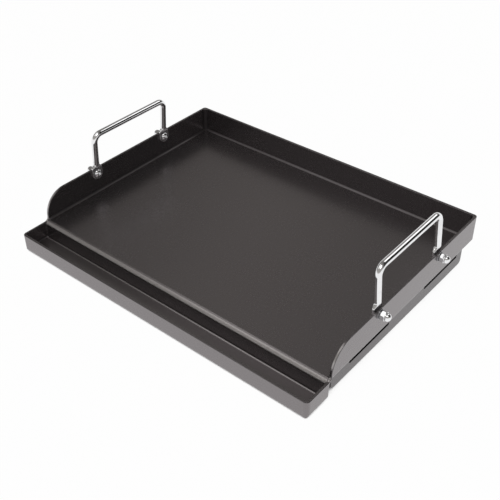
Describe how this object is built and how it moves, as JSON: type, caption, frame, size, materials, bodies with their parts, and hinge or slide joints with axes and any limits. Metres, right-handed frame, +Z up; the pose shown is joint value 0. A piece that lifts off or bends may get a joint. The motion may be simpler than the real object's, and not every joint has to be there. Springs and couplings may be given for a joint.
{
  "type": "camp griddle plate",
  "caption": "Flat steel griddle plate with raised walls, a grease trough along its swooped open front, vented rails under it and bolted chrome rod handles, for use over a camp stove's burners.",
  "frame": {"origin": "on the rest plane, under the middle of the pan", "axes": "+X to the right seen from the trough, along the trough; +Y to the back wall; +Z up"},
  "size_m": [0.4602, 0.337, 0.1136],
  "materials": {
    "coated_steel": "satin charcoal non-stick coating",
    "chrome": "polished chrome plate",
    "plated_steel": "dull zinc plate"
  },
  "bodies": {
    "griddle": {"griddle_pan": "coated_steel", "left_side_rail": "coated_steel", "right_side_rail": "coated_steel", "left_handle": "chrome", "right_handle": "chrome", "left_front_bolt": "chrome", "left_rear_bolt": "chrome", "right_front_bolt": "chrome", "right_rear_bolt": "chrome"},
    "left_front_washers": {"left_front_washer": "plated_steel", "left_front_lock_washer": "plated_steel"},
    "left_front_nut": {"left_front_acorn_nut": "chrome"},
    "left_rear_washers": {"left_rear_washer": "plated_steel", "left_rear_lock_washer": "plated_steel"},
    "left_rear_nut": {"left_rear_acorn_nut": "chrome"},
    "right_front_washers": {"right_front_washer": "plated_steel", "right_front_lock_washer": "plated_steel"},
    "right_front_nut": {"right_front_acorn_nut": "chrome"},
    "right_rear_washers": {"right_rear_washer": "plated_steel", "right_rear_lock_washer": "plated_steel"},
    "right_rear_nut": {"right_rear_acorn_nut": "chrome"}
  },
  "joints": [
    {"name": "left_front_nut_travel", "type": "slide", "parent": "griddle", "child": "left_front_washers", "axis": [-1, 0, 0], "range_m": [0, 0.006]},
    {"name": "left_front_nut_turn", "type": "hinge", "parent": "left_front_washers", "child": "left_front_nut", "pos_m": [-0.2195, -0.0445, 0.0537], "axis": [-1, 0, 0], "range_deg": [0, 2161]},
    {"name": "left_rear_nut_travel", "type": "slide", "parent": "griddle", "child": "left_rear_washers", "axis": [-1, 0, 0], "range_m": [0, 0.006]},
    {"name": "left_rear_nut_turn", "type": "hinge", "parent": "left_rear_washers", "child": "left_rear_nut", "pos_m": [-0.2195, 0.0785, 0.0537], "axis": [-1, 0, 0], "range_deg": [0, 2161]},
    {"name": "right_front_nut_travel", "type": "slide", "parent": "griddle", "child": "right_front_washers", "axis": [1, 0, 0], "range_m": [0, 0.006]},
    {"name": "right_front_nut_turn", "type": "hinge", "parent": "right_front_washers", "child": "right_front_nut", "pos_m": [0.2195, -0.0445, 0.0537], "axis": [1, 0, 0], "range_deg": [0, 2161]},
    {"name": "right_rear_nut_travel", "type": "slide", "parent": "griddle", "child": "right_rear_washers", "axis": [1, 0, 0], "range_m": [0, 0.006]},
    {"name": "right_rear_nut_turn", "type": "hinge", "parent": "right_rear_washers", "child": "right_rear_nut", "pos_m": [0.2195, 0.0785, 0.0537], "axis": [1, 0, 0], "range_deg": [0, 2161]}
  ],
  "couplings": [
    {"joint": "left_front_nut_turn", "follows": "left_front_nut_travel", "rad_per_m": 6283.2},
    {"joint": "left_rear_nut_turn", "follows": "left_rear_nut_travel", "rad_per_m": 6283.2},
    {"joint": "right_front_nut_turn", "follows": "right_front_nut_travel", "rad_per_m": 6283.2},
    {"joint": "right_rear_nut_turn", "follows": "right_rear_nut_travel", "rad_per_m": 6283.2}
  ]
}
